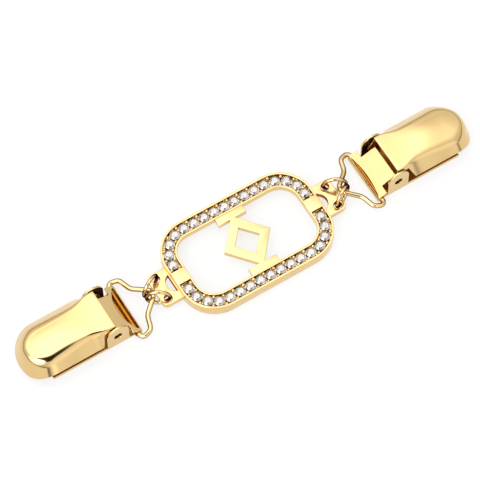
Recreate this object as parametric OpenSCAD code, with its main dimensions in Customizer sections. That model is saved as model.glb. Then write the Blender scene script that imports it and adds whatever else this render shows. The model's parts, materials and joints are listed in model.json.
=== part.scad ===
// Sweater clip: a stone-set centre link held by rings and wire bails between two spring clips.
// +X runs along the clip, +Y across it, +Z up; it lies on z = 0 with its middle at the origin.

/* [Centre link] */
// Half length of the channel's centre line
link_half_l = 17.86; // [16:0.02:22]
// Half width of the channel's centre line
link_half_w = 10.34; // [10:0.02:13]
// Corner radius of the channel's centre line
link_corner = 6.66; // [5.6:0.02:8]
// Height of the casting's outer wall
link_h = 3.2; // [2.9:0.05:4]
// Height of the casting above its hollow back
deck_h = 1.75; // [1.5:0.05:2.2]
// Height of the link's underside above the table
link_lift = 0.6; // [0.5:0.05:0.9]
// Width of the stone channel between its two rims
channel_w = 2.86; // [2.75:0.02:3.1]
// Thickness of the outer rim
outer_rim_t = 0.52; // [0.4:0.02:0.8]
// Thickness of the inner rim
inner_rim_t = 0.48; // [0.4:0.02:0.7]
// Depth of the channel below the rims
channel_d = 1; // [0.8:0.05:1.1]
// Thickness of the skirt that hangs below the outer rim
skirt_t = 0.9; // [0.6:0.05:1.1]
// Width of the plain bar that crosses the channel at each end
bar_w = 3.5; // [3:0.1:4]

/* [Stones] */
// Stones in each row, one row on each long side
row_stones = 17; // [15:1:17]
// Diameter of a stone
stone_d = 2.55; // [2:0.05:2.6]
// Depth of a stone's girdle below the rims
stone_sink = 0.42; // [0.38:0.02:0.6]
// Clearance between a stone and its seat
stone_gap = 0.06; // [0.04:0.01:0.12]

/* [Centre ornament] */
// Length of the open lozenge along the link
lozenge_l = 12.4; // [9:0.1:16]
// Width of a stroke of the lozenge
stroke_w = 2.2; // [1.6:0.1:2.8]
// Length of the slab that joins the lozenge to a long side
foot_l = 7.4; // [5:0.1:10]
// Width of that slab, measured from the inner rim
foot_w = 1.9; // [1.2:0.1:2.4]
// Thickness of the lozenge and its slabs
ornament_t = 1.5; // [1:0.1:1.7]
// Depth of the ornament's face below the rims
ornament_sink = 0.2; // [0.1:0.05:0.5]

/* [Lugs] */
// Reach of a lug beyond the outer rim
lug_l = 5; // [4.8:0.05:5.6]
// Width of a lug
lug_w = 8.8; // [8.6:0.1:10]
// Thickness of a lug
lug_t = 1.5; // [1.2:0.05:1.6]
// Radius of a lug's outer corners
lug_corner = 1.4; // [0.8:0.1:1.8]
// Diameter of a ring hole
ring_hole_d = 1.96; // [1.9:0.02:2.2]
// Distance of a ring hole from the lug's outer edge
hole_edge = 1.8; // [1.6:0.05:1.9]
// Distance between the two ring holes of a lug
hole_pitch = 5.6; // [5.4:0.05:5.7]
// Height of the D-shaped window across the lug
window_w = 4.6; // [3.6:0.1:5.4]
// Depth of the D-shaped window along the lug
window_l = 1.55; // [1:0.05:1.8]

/* [Jump rings] */
// Diameter of a jump ring, measured to the middle of its wire
ring_d = 5.4; // [5.3:0.05:5.6]
// Thickness of a jump ring's wire
ring_wire_d = 0.85; // [0.7:0.05:0.9]
// Distance past a bail's tip at which the rings cross its wire
ring_aim = 0.5; // [0.4:0.05:0.7]
// Distance of those crossings from the bail's middle
ring_spread = 1.15; // [1.1:0.05:1.4]

/* [Wire bails] */
// Thickness of a bail's wire
bail_wire_d = 1.15; // [0.9:0.05:1.2]
// Length of a bail from its straight base to its tip
bail_l = 7.4; // [7.2:0.05:9]
// Height of a bail's tip above the table
bail_tip_z = 2.9; // [2.8:0.05:3.1]
// Gap between a bail's tip and its lug
bail_lug_gap = 0.22; // [0.12:0.02:0.4]
// How far both clips sit towards +Y of the link's centre line
side_play = 0.3; // [0:0.02:0.32]
// How far each bail has slipped back towards minus Y in its clip's eye
bail_slip = 0.2; // [0:0.05:0.25]
// Bend radius beside the clip
bend_side = 1.1; // [1:0.05:1.3]
// Bend radius of the shoulder
bend_shoulder = 1.7; // [1.1:0.05:1.8]
// Bend radius of the hollow below the shoulder
bend_neck = 3.2; // [1.8:0.1:3.4]
// Bend radius of the tip
bend_tip = 1.8; // [1.6:0.05:1.9]

/* [Clip bodies] */
// Width of a clip body across its ears
body_w = 12.1; // [11.6:0.1:12.6]
// Width of the rolled eye that holds the bail
eye_w = 13.2; // [12.8:0.1:14]
// Length of the base plate, measured from the bail's base
plate_l = 22; // [20:0.1:23]
// Thickness of the clip's sheet metal
sheet_t = 0.5; // [0.4:0.02:0.55]
// Height of the turned-up side edges of the base plate
edge_h = 0.85; // [0.7:0.05:1.4]
// Height of the toothed front edge of the base plate
tooth_h = 2; // [1.4:0.1:2.4]
// Number of teeth on the front edge
teeth = 7; // [5:1:9]
// Clearance between the rolled eye and the bail's wire
eye_gap = 0.09; // [0.05:0.01:0.1]
// Half length of the opening in the rolled eye
eye_cut_half = 5.9; // [5:0.1:6.1]
// Distance of the opening's near edge behind the wire's middle
eye_cut_back = 0.66; // [0.5:0.02:0.7]
// Depth of the opening's curved edge on the left clip
dip_left = 2.3; // [0.8:0.1:2.4]
// Depth of the opening's curved edge on the right clip
dip_right = 0.8; // [0.6:0.1:2.4]
// Width of the tongue between the ears
tongue_w = 9; // [7:0.1:9.6]
// Distance of the tongue's front edge from the bail's base
tongue_l = 5; // [4.4:0.05:5.2]
// Height of the tongue's front edge
tongue_z = 4.7; // [4.4:0.05:4.9]
// Half length of an ear
ear_r = 2.85; // [2.6:0.05:2.95]
// Height of an ear
ear_h = 7.8; // [7.4:0.05:7.9]

/* [Clip covers] */
// Distance of the pivot from the bail's base
pivot_u = 4.9; // [4.9:0.05:5.2]
// Height of the pivot above the table
pivot_z = 4.1; // [3.9:0.05:4.4]
// Diameter of the hollow pivot stud on each side of a cover
pivot_d = 1.9; // [1.6:0.05:2.2]
// Running clearance round a pivot stud
pivot_gap = 0.07; // [0.03:0.01:0.1]
// Wall of the hollow pivot stud
stud_wall = 0.35; // [0.3:0.05:0.5]
// How far the stud reaches into the ear
stud_grip = 0.25; // [0.15:0.05:0.5]
// Distance of the cover's rear edge from the bail's base
cover_u = 4.95; // [4.9:0.05:5.4]
// Length of the cover
cover_l = 22.35; // [21:0.1:25]
// Width of the cover over its lower edges
cover_w = 14.1; // [13.4:0.1:15]
// Width of the flat top between the sloping sides
cover_flat_w = 8.4; // [7:0.1:10]
// Height of the cover above the table
cover_h = 8; // [7.8:0.05:8.4]
// Height of the side walls' lower edges above the table
wall_z = 4.3; // [3.8:0.1:4.8]
// Height of the nose's lower edge above the table
nose_z = 1.8; // [1.4:0.05:2.4]
// Thickness of the cover's sheet metal
cover_t = 0.45; // [0.4:0.01:0.46]
// Angle to which the cover is drawn open
cover_open = 0; // [0:1:75]

/* [Hidden] */
$fn = 48;
side_names = ["left", "right"];
// Rims and walls, as distances from the channel's centre line
rim_out = channel_w / 2 + outer_rim_t;
rim_in = channel_w / 2 + inner_rim_t;
rim_z = link_lift + link_h;
girdle_z = rim_z - stone_sink;
link_end = link_half_l + rim_out;
inner_half_w = link_half_w - rim_in;
// Half the length of the channel's centre line, and the pitch that fills it from bar to bar
half_run = 2 * (link_half_w - link_corner) + 2 * (link_half_l - link_corner) + PI * link_corner;
first_stone = bar_w / 2 + stone_d / 2 + 0.54;
pitch = (half_run - 2 * first_stone) / (row_stones - 1);
// Lugs, rings and bails
lug_end = link_end + lug_l;
lug_bottom = link_lift + 0.55;
lug_top = lug_bottom + lug_t;
hole_x = lug_end - hole_edge;
ring_r = ring_d / 2;
ring_z = ring_wire_d / 2 + ring_r;
// How far a ring's centre stands from its hole, so that its wire passes through evenly
function ring_reach(z) = sqrt(pow(ring_r, 2) - pow(ring_z - z, 2));
ring_out = (ring_reach(lug_bottom) + ring_reach(lug_top)) / 2;
bail_r = bail_wire_d / 2;
eye_in = bail_r + eye_gap;
eye_r = eye_in + sheet_t;
tip_x = lug_end + bail_lug_gap + bail_r;
base_x = tip_x + bail_l;
// The sheet runs on a little way into each end of the roll, a hair outside its curve and narrower
roll_lap = 0.12;
roll_step = 0.02;
lap_w = eye_w - 2 * roll_step;
base_z = eye_r + roll_step;
bail_tilt = asin((bail_tip_z - base_z) / bail_l);
bail_run = bail_l / cos(bail_tilt);
base_half = eye_w / 2 + 0.1;
// Headings of the bail, in degrees from across the clip towards the link
head_side = 105;
head_neck = 163;
head_tip = 130;
side_run = 0.6;
// Flats round the bail's wire, and degrees of bend from one section of it to the next
wire_sides = 18;
bend_step = 11;
// Places inside a clip
plate_half = body_w / 2;
ear_in = plate_half - sheet_t;
ear_mid_z = ear_h - ear_r;
arm_gap = 0.15;
arm_out = ear_in - arm_gap;
neck_half = arm_out;
tongue_far = norm([tongue_l, tongue_z - base_z]);
tongue_rise = atan2(tongue_z - base_z, tongue_l) - asin((eye_r + roll_step) / tongue_far);
nose_u = cover_u + cover_l;
cover_half = cover_w / 2;
shoulder_u = pivot_u + ear_r + 0.2;

stone_names = [for (i = [1 : 2 * row_stones]) str("stone_", i < 10 ? "0" : "", i)];

gold = "gold";
crystal = "whitesmoke";

// A point on the channel's centre line, s millimetres round from the middle of the right end
function run_point(s) =
    let (a = link_half_l, b = link_half_w, r = link_corner,
         up = b - r, bend = PI * r / 2, along = 2 * (a - r),
         s1 = up, s2 = s1 + bend, s3 = s2 + along, s4 = s3 + bend,
         t2 = (s - s1) / r * 180 / PI, t4 = 90 + (s - s3) / r * 180 / PI)
    s < s1 ? [a, s]
    : s < s2 ? [a - r + r * cos(t2), b - r + r * sin(t2)]
    : s < s3 ? [a - r - (s - s2), b]
    : s < s4 ? [-a + r + r * cos(t4), b - r + r * sin(t4)]
    : [-a, b - r - (s - s4)];

function stone_place(i) =
    let (k = i % row_stones, p = run_point(first_stone + k * pitch))
    i < row_stones ? p : [p.x, -p.y];

// Outline of the link at a distance from the channel's centre line
module link_outline(d) {
    l = link_half_l + d;
    w = link_half_w + d;
    r = link_corner + d;
    square([2 * l, 2 * (w - r)], center = true);
    square([2 * (l - r), 2 * w], center = true);
    for (x = [-1, 1], y = [-1, 1])
        translate([x * (l - r), y * (w - r)]) circle(r = r);
}

module link_band(from, to, low, high) {
    translate([0, 0, low]) linear_extrude(high - low) difference() {
        link_outline(to);
        link_outline(from);
    }
}

module lug() {
    inside = link_half_l + channel_w / 2;
    flat_x = link_end + 0.3;
    window_r = (pow(window_w / 2, 2) + pow(window_l, 2)) / (2 * window_l);
    translate([0, 0, lug_bottom]) linear_extrude(lug_t) difference() {
        union() {
            translate([inside, -lug_w / 2]) square([lug_end - lug_corner - inside, lug_w]);
            translate([inside, -lug_w / 2 + lug_corner])
                square([lug_end - inside, lug_w - 2 * lug_corner]);
            for (y = [-1, 1])
                translate([lug_end - lug_corner, y * (lug_w / 2 - lug_corner)]) circle(r = lug_corner);
        }
        intersection() {
            translate([flat_x + window_l - window_r, 0]) circle(r = window_r);
            translate([flat_x, -window_w]) square([window_l + 1, 2 * window_w]);
        }
    }
}

// A ring hole, opened out below so that the ring can turn under the lug
module ring_hole() {
    flare_h = 0.45;
    flare_r = ring_hole_d / 2 + 0.5;
    translate([0, 0, lug_bottom - 1]) cylinder(d = ring_hole_d, h = lug_t + 2);
    translate([0, 0, lug_bottom - 0.01])
        cylinder(r1 = flare_r, r2 = ring_hole_d / 2, h = flare_h);
}

module ornament() {
    top = rim_z - ornament_sink;
    join = 0.2;
    half_y = inner_half_w - foot_w + stroke_w * 0.35;
    half_x = lozenge_l / 2;
    edge = norm([half_x, half_y]);
    in_x = half_x - stroke_w * edge / half_y;
    in_y = half_y - stroke_w * edge / half_x;
    translate([0, 0, top - ornament_t]) linear_extrude(ornament_t) {
        difference() {
            polygon([[half_x, 0], [0, half_y], [-half_x, 0], [0, -half_y]]);
            polygon([[in_x, 0], [0, in_y], [-in_x, 0], [0, -in_y]]);
        }
        for (y = [-1, 1])
            translate([0, y * (inner_half_w + (join - foot_w) / 2)])
                square([foot_l, foot_w + join], center = true);
    }
}

module frame() {
    seat_z = girdle_z - stone_d * 0.46;
    color(gold) difference() {
        union() {
            link_band(-rim_in, rim_out, rim_z - deck_h, rim_z);
            link_band(rim_out - skirt_t, rim_out, link_lift, rim_z);
            for (side = [0, 180]) rotate(side) lug();
            ornament();
        }
        difference() {
            link_band(-channel_w / 2, channel_w / 2, rim_z - channel_d, rim_z + 1);
            translate([0, 0, rim_z]) cube([4 * link_half_l, bar_w, 4], center = true);
        }
        for (i = [0 : 2 * row_stones - 1])
            translate([stone_place(i).x, stone_place(i).y, seat_z])
                cylinder(d = stone_d - 0.3, h = link_h);
        for (x = [-1, 1], y = [-1, 1])
            translate([x * hole_x, y * hole_pitch / 2, 0]) ring_hole();
    }
}

// A round brilliant: table, sixteen-sided girdle and pointed back, its girdle at z = 0
module brilliant(d) {
    n = 8;
    r = d / 2;
    table_r = 0.58 * r;
    crown_h = 0.3 * r;
    girdle_h = 0.08 * r;
    back_h = 0.84 * r;
    table = [for (i = [0 : n - 1]) [table_r * cos(i * 360 / n), table_r * sin(i * 360 / n), crown_h]];
    upper = [for (i = [0 : 2 * n - 1]) [r * cos(i * 180 / n), r * sin(i * 180 / n), girdle_h / 2]];
    lower = [for (p = upper) [p.x, p.y, -girdle_h / 2]];
    culet = [[0, 0, -back_h]];
    u0 = n;
    l0 = 3 * n;
    tip = 5 * n;
    faces = concat(
        [[for (i = [n - 1 : -1 : 0]) i]],
        [for (i = [0 : n - 1]) [i, u0 + 2 * i, u0 + (2 * i + 2 * n - 1) % (2 * n)]],
        [for (i = [0 : n - 1]) [i, u0 + 2 * i + 1, u0 + 2 * i]],
        [for (i = [0 : n - 1]) [i, (i + 1) % n, u0 + 2 * i + 1]],
        [for (i = [0 : 2 * n - 1]) let (j = (i + 1) % (2 * n)) [u0 + i, u0 + j, l0 + j, l0 + i]],
        [for (i = [0 : 2 * n - 1]) [l0 + i, l0 + (i + 1) % (2 * n), tip]]);
    polyhedron(points = concat(table, upper, lower, culet), faces = faces);
}

module stone(i) {
    p = stone_place(i);
    color(crystal) translate([p.x, p.y, girdle_z + stone_gap]) brilliant(stone_d);
}

// A jump ring standing in its hole, x and y being the signs of its corner
module ring(x, y) {
    hole = [x * hole_x, y * hole_pitch / 2];
    aim = [x * (tip_x + ring_aim), side_play - bail_slip + y * ring_spread];
    heading = atan2(aim.y - hole.y, aim.x - hole.x);
    centre = hole + ring_out * [cos(heading), sin(heading)];
    color(gold) translate([centre.x, centre.y, ring_z]) rotate([0, 0, heading])
        rotate([90, 0, 0]) rotate_extrude() translate([ring_r, 0]) circle(d = ring_wire_d);
}

// Step made by an arc that turns the heading from a to b, as [towards the link, across]
function arc_step(r, a, b) =
    sign(b - a) * r * [cos(a) - cos(b), sin(b) - sin(a)];
function line_step(l, a) = l * [sin(a), cos(a)];

// One half of the bail: each row is [kind, radius or length, heading before, heading after]
bent = arc_step(bend_side, 0, head_side) + line_step(side_run, head_side)
    + arc_step(bend_shoulder, head_side, head_neck) + arc_step(bend_neck, head_neck, head_tip)
    + arc_step(bend_tip, head_tip, 180);
to_go = [bail_run - bent.x, -base_half - bent.y];
spread = sin(head_neck) * cos(head_tip) - sin(head_tip) * cos(head_neck);
neck_run = (to_go.x * cos(head_tip) - to_go.y * sin(head_tip)) / spread;
tip_run = (to_go.y * sin(head_neck) - to_go.x * cos(head_neck)) / spread;
bail_rows = [
    ["line", base_half, 0, 0],
    ["arc", bend_side, 0, head_side],
    ["line", side_run, head_side, head_side],
    ["arc", bend_shoulder, head_side, head_neck],
    ["line", neck_run, head_neck, head_neck],
    ["arc", bend_neck, head_neck, head_tip],
    ["line", tip_run, head_tip, head_tip],
    ["arc", bend_tip, head_tip, 180]];

function row_step(row) =
    row[0] == "line" ? line_step(row[1], row[2]) : arc_step(row[1], row[2], row[3]);
function row_start(k) = k == 0 ? [0, 0] : row_start(k - 1) + row_step(bail_rows[k - 1]);

// Sections along the wire of one half, each as [place, heading], from the base's end to the tip
function row_sections(k) =
    let (row = bail_rows[k], from = row_start(k), n = ceil(abs(row[3] - row[2]) / bend_step))
    row[0] == "line" ? [[from + row_step(row), row[2]]]
    : [for (j = [1 : n]) let (a = row[2] + (row[3] - row[2]) * j / n)
        [from + arc_step(row[1], row[2], a), a]];
half_wire = [for (k = [0 : len(bail_rows) - 1]) each row_sections(k)];
other_half = [for (k = [len(half_wire) - 2 : -1 : 0])
    [[half_wire[k][0].x, -half_wire[k][0].y], 360 - half_wire[k][1]]];
whole_wire = concat(half_wire, other_half);

module bent_wire(sections) {
    n = len(sections);
    m = wire_sides;
    points = [for (s = sections, j = [0 : m - 1])
        let (out = bail_r * cos(360 * j / m), up = bail_r * sin(360 * j / m))
        [s[0].x + out * cos(s[1]), s[0].y - out * sin(s[1]), up]];
    faces = [for (i = [0 : n - 1], j = [0 : m - 1])
        let (a = i * m, b = (i + 1) % n * m, k = (j + 1) % m)
        each [[a + j, b + k, b + j], [a + j, a + k, b + k]]];
    polyhedron(points = points, faces = faces);
}

module bail(side) {
    color(gold) on_side(side) translate([0, -bail_slip, base_z])
        rotate([0, bail_tilt, 0]) mirror([1, 0, 0]) bent_wire(whole_wire);
}

// Everything of a clip is drawn with x measured outwards from the bail's base
module on_side(side) {
    translate([side * base_x, side_play, 0]) mirror([side > 0 ? 0 : 1, 0, 0]) children();
}

module across(y, t) {
    translate([0, y + t, 0]) rotate([90, 0, 0]) linear_extrude(t) children();
}

module ear_outline() {
    difference() {
        union() {
            translate([pivot_u, ear_mid_z]) circle(r = ear_r);
            translate([pivot_u - ear_r, 0]) square([2 * ear_r, ear_mid_z]);
        }
        translate([pivot_u, pivot_z]) circle(r = pivot_d / 2 + pivot_gap);
    }
}

module front_teeth() {
    span = body_w - 2.4;
    step = span / teeth;
    root = edge_h;
    across_teeth = [for (k = [0 : teeth - 1], p = [[0, root], [0.5, tooth_h]])
        [-span / 2 + (k + p[0]) * step, p[1]]];
    translate([plate_l, 0, 0]) rotate([90, 0, 90]) translate([0, 0, -sheet_t])
        linear_extrude(sheet_t)
            polygon(concat([[-span / 2, 0]], across_teeth, [[span / 2, root], [span / 2, 0]]));
}

module rolled_eye() {
    translate([0, eye_w / 2, base_z]) rotate([90, 0, 0]) rotate([0, 0, 90 + tongue_rise])
        rotate_extrude(angle = 180 - tongue_rise) translate([eye_in, 0]) square([sheet_t, eye_w]);
}

module tongue() {
    band_l = pivot_u - ear_r - 0.12;
    reach = sqrt(pow(tongue_far, 2) - pow(eye_r + roll_step, 2));
    translate([0, 0, base_z]) rotate([0, -tongue_rise, 0]) translate([0, 0, eye_in + roll_step]) {
        translate([roll_lap, -tongue_w / 2, 0]) cube([reach - roll_lap, tongue_w, sheet_t]);
        translate([-roll_lap, -lap_w / 2, 0]) cube([band_l + roll_lap, lap_w, sheet_t]);
    }
}

// The opening in the top of the rolled eye, through which the bail's wire shows
module eye_opening(dip) {
    end_dip = dip * 0.2;
    bow = dip - end_dip;
    r = (pow(eye_cut_half, 2) + pow(bow, 2)) / (2 * bow);
    reach = 4 * eye_r;
    intersection() {
        translate([dip - eye_cut_back - r, 0, base_z]) cylinder(r = r, h = reach);
        translate([-eye_cut_back, -eye_cut_half, base_z]) cube([reach, 2 * eye_cut_half, reach]);
    }
}

module clip_body(side, dip) {
    color(gold) on_side(side) difference() {
        union() {
            translate([roll_lap, -plate_half, 0]) cube([plate_l - roll_lap, body_w, sheet_t]);
            translate([-roll_lap, -lap_w / 2, 0]) cube([eye_in + roll_lap, lap_w, sheet_t]);
            for (y = [-plate_half, plate_half - sheet_t]) {
                across(y, sheet_t) ear_outline();
                translate([shoulder_u, y, 0]) cube([plate_l - shoulder_u, sheet_t, edge_h]);
            }
            front_teeth();
            rolled_eye();
            tongue();
        }
        eye_opening(dip);
    }
}

// The cover: a flat-topped shell with sloping sides. Its body is a row of sections across the clip
// and its nose is half a section swung round an upright axis. An inset d is nothing for the outer
// skin and the sheet's thickness for the lining.
function lerp(a, b, t) = a + (b - a) * t;
function ease(t) = let (k = min(max(t, 0), 1)) k * k * (3 - 2 * k);
nose_l = 0.3 * cover_l;
nose_from = nose_u - nose_l;
nose_rim = 1.5;
rear_z = cover_h - 1.4;
drop_l = 1.1;
body_us = concat(
    [for (k = [0 : 3]) lerp(cover_u, shoulder_u, k / 3)],
    [for (k = [1 : 4]) shoulder_u + drop_l * k / 4],
    [for (k = [1 : 7]) lerp(shoulder_u + drop_l, nose_from, k / 7)]);
nose_steps = 16;

function top_z(u) = cover_h - 0.9 * ease((u - cover_u - 0.4 * cover_l) / (0.6 * cover_l));
function flat_half(u) =
    lerp(neck_half - 0.15, cover_flat_w / 2, ease((u - cover_u - 1) / (0.24 * cover_l)))
    + 0.3 * ease((u - cover_u - 0.35 * cover_l) / (0.35 * cover_l));
function low_z(u) =
    u <= shoulder_u ? rear_z : lerp(rear_z, wall_z, min((u - shoulder_u) / drop_l, 1));
// The sloping side carries on to whatever height the lower edge has
function low_half(u) =
    let (f = flat_half(u), slope = (cover_w / 2 - f) / (top_z(u) - wall_z),
         w = f + (top_z(u) - low_z(u)) * slope)
    u <= shoulder_u ? neck_half : lerp(neck_half, w, ease((u - shoulder_u) / drop_l + 0.35));

// Half a section from its lower edge [w, low] to the middle: side, rounded shoulder, crowned top
shoulder_steps = 7;
crown_steps = 4;
function half_section(w, f, low, top, soft) =
    let (side = [f - w, top - low], run = lerp(0.2, 0.42, soft), in = lerp(0.5, 1.5, soft),
         crown_h = lerp(0.1, 0.4, soft),
         from = [f, top] - run * side, to = [f - in, top + crown_h * 0.22])
    concat([[w, low]],
        [for (j = [0 : shoulder_steps]) let (t = j / shoulder_steps)
            pow(1 - t, 2) * from + 2 * t * (1 - t) * [f, top] + t * t * to],
        [for (j = [1 : crown_steps]) let (t = 1 - j / crown_steps)
            [to[0] * t, lerp(top + crown_h, to[1], t * t)]]);
half_count = shoulder_steps + crown_steps + 2;

function body_half(u, d) =
    half_section(low_half(u) - 1.1 * d, flat_half(u) - 0.6 * d, low_z(u), top_z(u) - d,
        ease((u - shoulder_u) / (0.5 * cover_l)));
function body_section(u, d) = let (h = body_half(u, d), n = half_count)
    concat([for (j = [0 : n - 1]) [u, -h[j][0], h[j][1]]],
        [for (j = [n - 2 : -1 : 0]) [u, h[j][0], h[j][1]]]);

// Distance from the nose's axis to a rounded outline, a being the angle from straight ahead
function nose_reach(ahead, aside, a) =
    1 / pow(pow(abs(cos(a)) / ahead, 2.2) + pow(abs(sin(a)) / aside, 2.2), 1 / 2.2);
function nose_section(a, d) =
    let (w = nose_reach(nose_l, low_half(nose_from), a) - 1.1 * d,
         f = nose_reach(nose_l - nose_rim, flat_half(nose_from), a) - 0.6 * d,
         low = lerp(wall_z, nose_z, ease((1 - abs(a) / 90) / 0.75)),
         top = lerp(top_z(nose_from), top_z(nose_u), cos(a)) - d,
         h = half_section(w, f, low, top, 1),
         lift = body_half(nose_from, d)[half_count - 1][1] - h[half_count - 1][1])
    [for (j = [0 : half_count - 2]) let (q = h[j], t = max(1 - q[0] / f, 0))
        [nose_from + q[0] * cos(a), q[0] * sin(a), q[1] + lift * t]];

module cover_shell() {
    bodies = len(body_us);
    m = 2 * half_count - 1;
    n = half_count - 1;
    angles = [for (k = [1 : nose_steps - 1]) -90 + 180 * k / nose_steps];
    // All points of one skin, then the indices of the nose's sections within it
    function skin_points(d) = concat([for (u = body_us) each body_section(u, d)],
        [for (a = angles) each nose_section(a, d)]);
    last = (bodies - 1) * m;
    middle = last + n;
    function at(k, j) =
        j >= n ? middle
        : k == 0 ? last + j
        : k == nose_steps ? last + m - 1 - j
        : bodies * m + (k - 1) * n + j;
    outer = skin_points(0);
    o = len(outer);
    body_skin = [for (k = [0 : bodies - 2], j = [0 : m - 2]) let (a = k * m + j)
        each [[a, a + 1, a + m + 1], [a, a + m + 1, a + m]]];
    nose_skin = [for (k = [0 : nose_steps - 1], j = [0 : n - 1])
        each concat([[at(k, j), at(k, j + 1), at(k + 1, j)]],
            j < n - 1 ? [[at(k, j + 1), at(k + 1, j + 1), at(k + 1, j)]] : [])];
    skin = concat(body_skin, nose_skin);
    lining = [for (f = skin) [o + f[0], o + f[2], o + f[1]]];
    // The rim of the metal, from the near rear corner round the nose to the far rear corner
    edge = concat([for (k = [0 : bodies - 1]) k * m], [for (k = [1 : nose_steps - 1]) at(k, 0)],
        [for (k = [bodies - 1 : -1 : 0]) k * m + m - 1]);
    lips = [for (k = [0 : len(edge) - 2]) let (a = edge[k], b = edge[k + 1])
        each [[a, b, o + b], [a, o + b, o + a]]];
    rear = [for (j = [0 : m - 2]) each [[j, o + j + 1, j + 1], [j, o + j, o + j + 1]]];
    polyhedron(points = concat(outer, skin_points(cover_t)),
        faces = concat(skin, lining, lips, rear));
}

// A side arm that carries the pivot stud, drawn on the far side
module cover_arm() {
    arm_t = cover_t;
    arm_r = pivot_d / 2 + 0.6;
    top = rear_z + 0.5;
    stud_l = arm_t + arm_gap + stud_grip;
    y = arm_out - arm_t;
    difference() {
        union() {
            across(y, arm_t) {
                translate([pivot_u, pivot_z]) circle(r = arm_r);
                polygon([[pivot_u - arm_r, pivot_z], [pivot_u + arm_r, pivot_z],
                    [shoulder_u - 0.2, top], [cover_u + 0.1, top]]);
            }
            translate([pivot_u, y, pivot_z]) rotate([-90, 0, 0]) cylinder(d = pivot_d, h = stud_l);
        }
        translate([pivot_u, y - 1, pivot_z]) rotate([-90, 0, 0])
            cylinder(d = pivot_d - 2 * stud_wall, h = stud_l + 2);
    }
}

module clip_cover(side) {
    color(gold) on_side(side)
        translate([pivot_u, 0, pivot_z]) rotate([0, -cover_open, 0]) translate([-pivot_u, 0, -pivot_z]) {
            cover_shell();
            for (half = [0, 1]) mirror([0, half, 0]) cover_arm();
        }
}

frame();
for (i = [0 : 2 * row_stones - 1])
    stone(i);
ring(-1, 1);  // ring_left_upper
ring(-1, -1);  // ring_left_lower
ring(1, 1);  // ring_right_upper
ring(1, -1);  // ring_right_lower
bail(-1);  // bail_left
bail(1);  // bail_right
clip_body(-1, dip_left);  // clip_body_left
clip_body(1, dip_right);  // clip_body_right
clip_cover(-1);  // clip_cover_left
clip_cover(1);  // clip_cover_right
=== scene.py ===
"""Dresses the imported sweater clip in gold-plated casting, wire and pressed sheet, and in crystal."""

import json
import math

import bmesh
import bpy
from bpy.props import (
    FloatProperty,
    FloatVectorProperty,
    IntProperty,
    PointerProperty,
)
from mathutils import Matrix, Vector

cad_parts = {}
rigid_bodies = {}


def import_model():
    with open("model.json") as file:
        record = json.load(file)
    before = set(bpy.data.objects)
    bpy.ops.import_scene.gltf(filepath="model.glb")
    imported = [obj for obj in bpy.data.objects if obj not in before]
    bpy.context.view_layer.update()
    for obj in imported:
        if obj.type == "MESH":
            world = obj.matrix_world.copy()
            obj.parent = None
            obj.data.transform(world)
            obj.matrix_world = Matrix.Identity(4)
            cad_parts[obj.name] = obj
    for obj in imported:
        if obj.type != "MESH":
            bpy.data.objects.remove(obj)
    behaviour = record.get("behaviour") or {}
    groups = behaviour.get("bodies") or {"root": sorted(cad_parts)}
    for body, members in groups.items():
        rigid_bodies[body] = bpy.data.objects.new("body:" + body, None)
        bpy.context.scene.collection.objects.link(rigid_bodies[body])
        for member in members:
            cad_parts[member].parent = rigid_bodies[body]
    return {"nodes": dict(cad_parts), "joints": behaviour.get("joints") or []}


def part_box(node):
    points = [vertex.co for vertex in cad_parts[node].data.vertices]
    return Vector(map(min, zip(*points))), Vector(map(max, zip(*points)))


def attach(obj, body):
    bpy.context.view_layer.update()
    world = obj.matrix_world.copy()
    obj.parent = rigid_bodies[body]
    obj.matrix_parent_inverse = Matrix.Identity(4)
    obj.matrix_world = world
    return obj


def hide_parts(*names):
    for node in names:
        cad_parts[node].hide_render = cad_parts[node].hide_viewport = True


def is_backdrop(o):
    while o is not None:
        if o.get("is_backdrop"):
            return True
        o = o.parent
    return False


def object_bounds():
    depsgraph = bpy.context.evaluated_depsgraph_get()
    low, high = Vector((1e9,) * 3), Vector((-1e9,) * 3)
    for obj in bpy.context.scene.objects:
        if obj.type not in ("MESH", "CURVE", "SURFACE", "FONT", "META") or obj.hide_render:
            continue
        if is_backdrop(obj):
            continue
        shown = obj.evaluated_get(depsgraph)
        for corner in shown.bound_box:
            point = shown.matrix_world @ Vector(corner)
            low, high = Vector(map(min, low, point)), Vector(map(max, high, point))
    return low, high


bl_info = {
    "name": "Sweater clip",
    "version": (1, 0, 0),
    "blender": (4, 5, 0),
    "location": "View3D > Sidebar > Sweater clip",
    "description": "Dresses the packed sweater clip in gold plate and crystal and sets its studio",
    "category": "Object",
}

MM = 0.001
SIDES = {"left": -1, "right": 1}
LEVELS = {"upper": 1, "lower": -1}

for left_over in list(bpy.data.objects):
    bpy.data.objects.remove(left_over)
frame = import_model()
CAD_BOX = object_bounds()
PIVOTS = {joint["name"]: [c / MM for c in joint["pos_m"]] for joint in frame["joints"]}

# The cast link's sizes in millimetres. The first three are those of its stone channel's centre line
LINK_HALF_L = 17.86
LINK_HALF_W = 10.34
LINK_CORNER = 6.66
LINK_LIFT = 0.6
LINK_H = 3.2
DECK_H = 1.75
SKIRT_T = 0.9
CHANNEL_W = 2.86
CHANNEL_D = 1.5
OUTER_RIM_T = 0.52
INNER_RIM_T = 0.48
BAR_W = 3.5
ROW_STONES = 17
LOZENGE_L = 12.4
STROKE_W = 2.2
FOOT_L = 7.4
FOOT_W = 1.9
ORNAMENT_T = 1.5
ORNAMENT_SINK = 0.2

# A lug, its D-shaped window and its two ring holes
LUG_L = 5.0
LUG_W = 8.8
LUG_T = 1.5
LUG_RISE = 0.55
LUG_CORNER = 1.4
WINDOW_L = 1.55
WINDOW_W = 4.6
WINDOW_BEYOND_RIM = 0.3
HOLE_D = 1.96
HOLE_EDGE = 1.8
HOLE_PITCH = 5.6

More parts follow.
